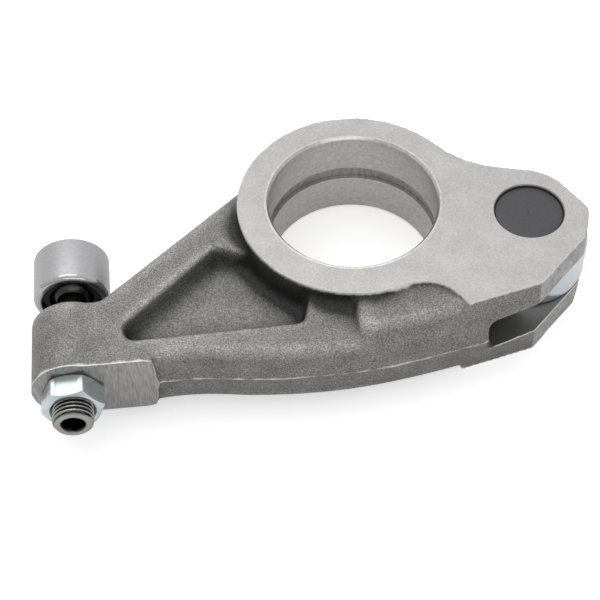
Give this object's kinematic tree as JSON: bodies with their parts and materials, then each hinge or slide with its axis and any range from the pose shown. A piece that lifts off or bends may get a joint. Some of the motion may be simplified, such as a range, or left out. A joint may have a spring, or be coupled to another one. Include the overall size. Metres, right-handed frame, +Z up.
{
  "type": "rocker arm",
  "caption": "Forged roller rocker arm for an overhead-camshaft engine, with a bushed shaft bore, an adjusting screw and a swivel foot.",
  "frame": {"origin": "on the shaft bore's axis, at the lower ground side face", "axes": "+Z up the shaft bore, +X from the bore towards the roller, +Y along the adjusting screw from its lock nut to its swivel foot"},
  "size_m": [0.1987, 0.1145, 0.0376],
  "materials": {
    "forged_steel": "as forged and blasted, with ground side faces",
    "bearing_lining": "satin, finely bored",
    "roller_steel": "hardened, ground and polished",
    "bronze": "turned",
    "pin_steel": "ground, dark",
    "screw_steel": "machined",
    "plated_steel": "bright zinc plated",
    "foot_steel": "hardened and ground",
    "spring_steel": "dark oiled"
  },
  "bodies": {
    "arm": {"rocker_arm": "forged_steel", "bush_upper": "bearing_lining", "bush_lower": "bearing_lining", "roller_pin": "pin_steel"},
    "roller_bush": {"roller_bush": "bronze"},
    "roller": {"roller": "roller_steel"},
    "screw": {"adjusting_screw": "screw_steel"},
    "nut": {"lock_nut": "plated_steel"},
    "foot": {"swivel_foot": "foot_steel", "foot_snap_ring": "spring_steel"}
  },
  "joints": [
    {"name": "roller_bush_spin", "type": "hinge", "parent": "arm", "child": "roller_bush", "pos_m": [0.06096, -0.01168, 0.0188], "axis": [0, 0, 1], "continuous": true},
    {"name": "roller_spin", "type": "hinge", "parent": "arm", "child": "roller", "pos_m": [0.06096, -0.01168, 0.0188], "axis": [0, 0, 1], "continuous": true},
    {"name": "screw_travel", "type": "slide", "parent": "arm", "child": "screw", "axis": [0, 1, 0], "range_m": [-0.003, 0.004]},
    {"name": "lock_nut_turn", "type": "hinge", "parent": "arm", "child": "nut", "pos_m": [-0.1018, -0.0631, 0.0188], "axis": [0, 1, 0], "range_deg": [-90, 0]},
    {"name": "foot_swivel", "type": "hinge", "parent": "screw", "child": "foot", "pos_m": [-0.1018, -0.01375, 0.0188], "axis": [0, 0, 1], "range_deg": [-8, 8]}
  ]
}
